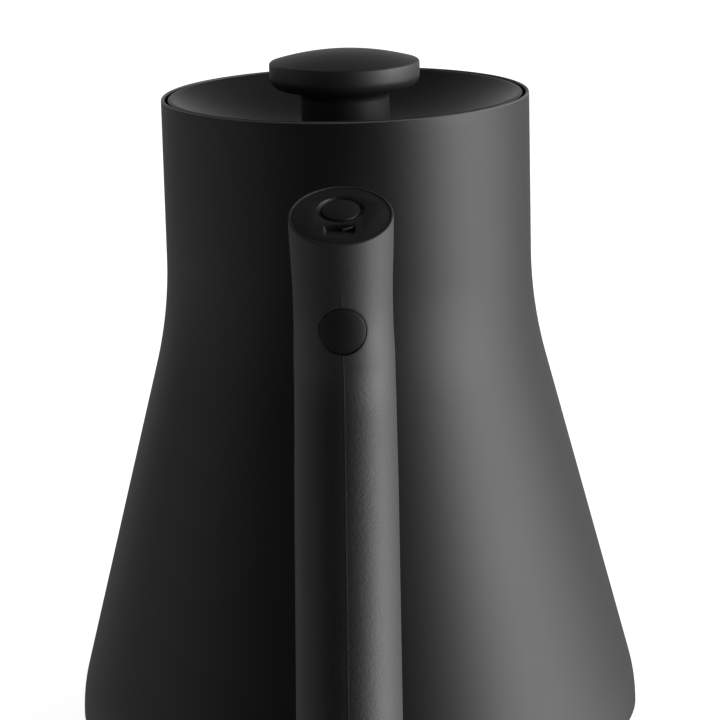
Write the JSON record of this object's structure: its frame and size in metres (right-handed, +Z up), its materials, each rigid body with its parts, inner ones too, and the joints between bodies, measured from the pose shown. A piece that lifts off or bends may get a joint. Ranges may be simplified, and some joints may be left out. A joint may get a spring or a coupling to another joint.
{
  "type": "gooseneck kettle",
  "caption": "Cordless gooseneck kettle: conical vessel, dished lift-off lid with mushroom knob, thin swan-neck spout, upright pistol grip with thumb face and a heated base with round coupler.",
  "frame": {"origin": "on the vessel's axis, at the plane the kettle stands on", "axes": "+Z up along the vessel's axis, +Y towards the spout, the grip is at -Y, +X to the right seen from behind the grip"},
  "size_m": [0.1468, 0.2804, 0.1781],
  "materials": {
    "black_coat": "matte black powder coat on stainless steel, very fine grain",
    "lid_coat": "matte black powder coat, smooth",
    "grip_plastic": "matte black moulded plastic with fine spark-eroded texture",
    "cap_plastic": "smooth matte black plastic",
    "arm_plastic": "matte black moulded plastic",
    "knob_plastic": "smooth matte black plastic",
    "plug_rubber": "smooth soft black rubber",
    "base_plastic": "matte black moulded plastic",
    "brushed_steel": "brushed stainless steel",
    "fastener_steel": "plain stainless steel",
    "spreader_aluminium": "cast and machined aluminium",
    "contact_brass": "plain brass",
    "coupler_plastic": "off-white heat-proof plastic",
    "cutout_plastic": "black thermoset plastic",
    "black_silicone": "black silicone",
    "white_silicone": "translucent white silicone",
    "lead_red": "red wire insulation",
    "lead_blue": "blue wire insulation",
    "lead_green": "green wire insulation",
    "lead_black": "black wire sleeve"
  },
  "bodies": {
    "kettle": {"body_shell": "black_coat", "lid_seat_ring": "brushed_steel", "spout_tube": "black_coat", "spout_collar": "black_coat", "floor_plate": "brushed_steel", "heat_spreader": "spreader_aluminium", "heating_element": "fastener_steel", "element_pins": "fastener_steel", "coupler_housing": "coupler_plastic", "coupler_pin": "contact_brass", "coupler_inner_ring": "contact_brass", "coupler_outer_ring": "contact_brass", "coupler_tabs": "contact_brass", "coupler_studs": "fastener_steel", "coupler_nuts": "fastener_steel", "thermal_cutout": "cutout_plastic", "cutout_disc": "fastener_steel", "cutout_bracket": "fastener_steel", "sensor_probe": "brushed_steel", "sensor_grommet": "white_silicone", "sensor_clip": "fastener_steel", "earth_screw": "contact_brass", "live_lead": "lead_red", "element_lead": "lead_red", "neutral_lead": "lead_blue", "earth_lead": "lead_green", "sensor_lead": "lead_black", "cover_posts": "spreader_aluminium", "base_cover": "base_plastic", "base_gasket": "black_silicone", "cover_screws": "fastener_steel", "handle_boss": "fastener_steel", "handle_arm": "arm_plastic", "arm_gasket": "black_silicone", "grip_shell": "grip_plastic", "grip_top_cap": "cap_plastic", "counterweight": "fastener_steel", "counterweight_pad": "black_silicone", "grip_bottom_cap": "cap_plastic", "handle_screw": "fastener_steel", "screw_washer": "fastener_steel", "screw_plug": "plug_rubber"},
    "lid": {"lid_pan": "lid_coat", "lid_knob": "knob_plastic", "lid_underplate": "brushed_steel", "lid_gasket": "white_silicone", "knob_insert": "contact_brass", "knob_screw": "fastener_steel", "knob_washer": "fastener_steel"}
  },
  "joints": [
    {"name": "lid_lift", "type": "slide", "parent": "kettle", "child": "lid", "axis": [0, 0, 1], "range_m": [0, 0.06]}
  ]
}
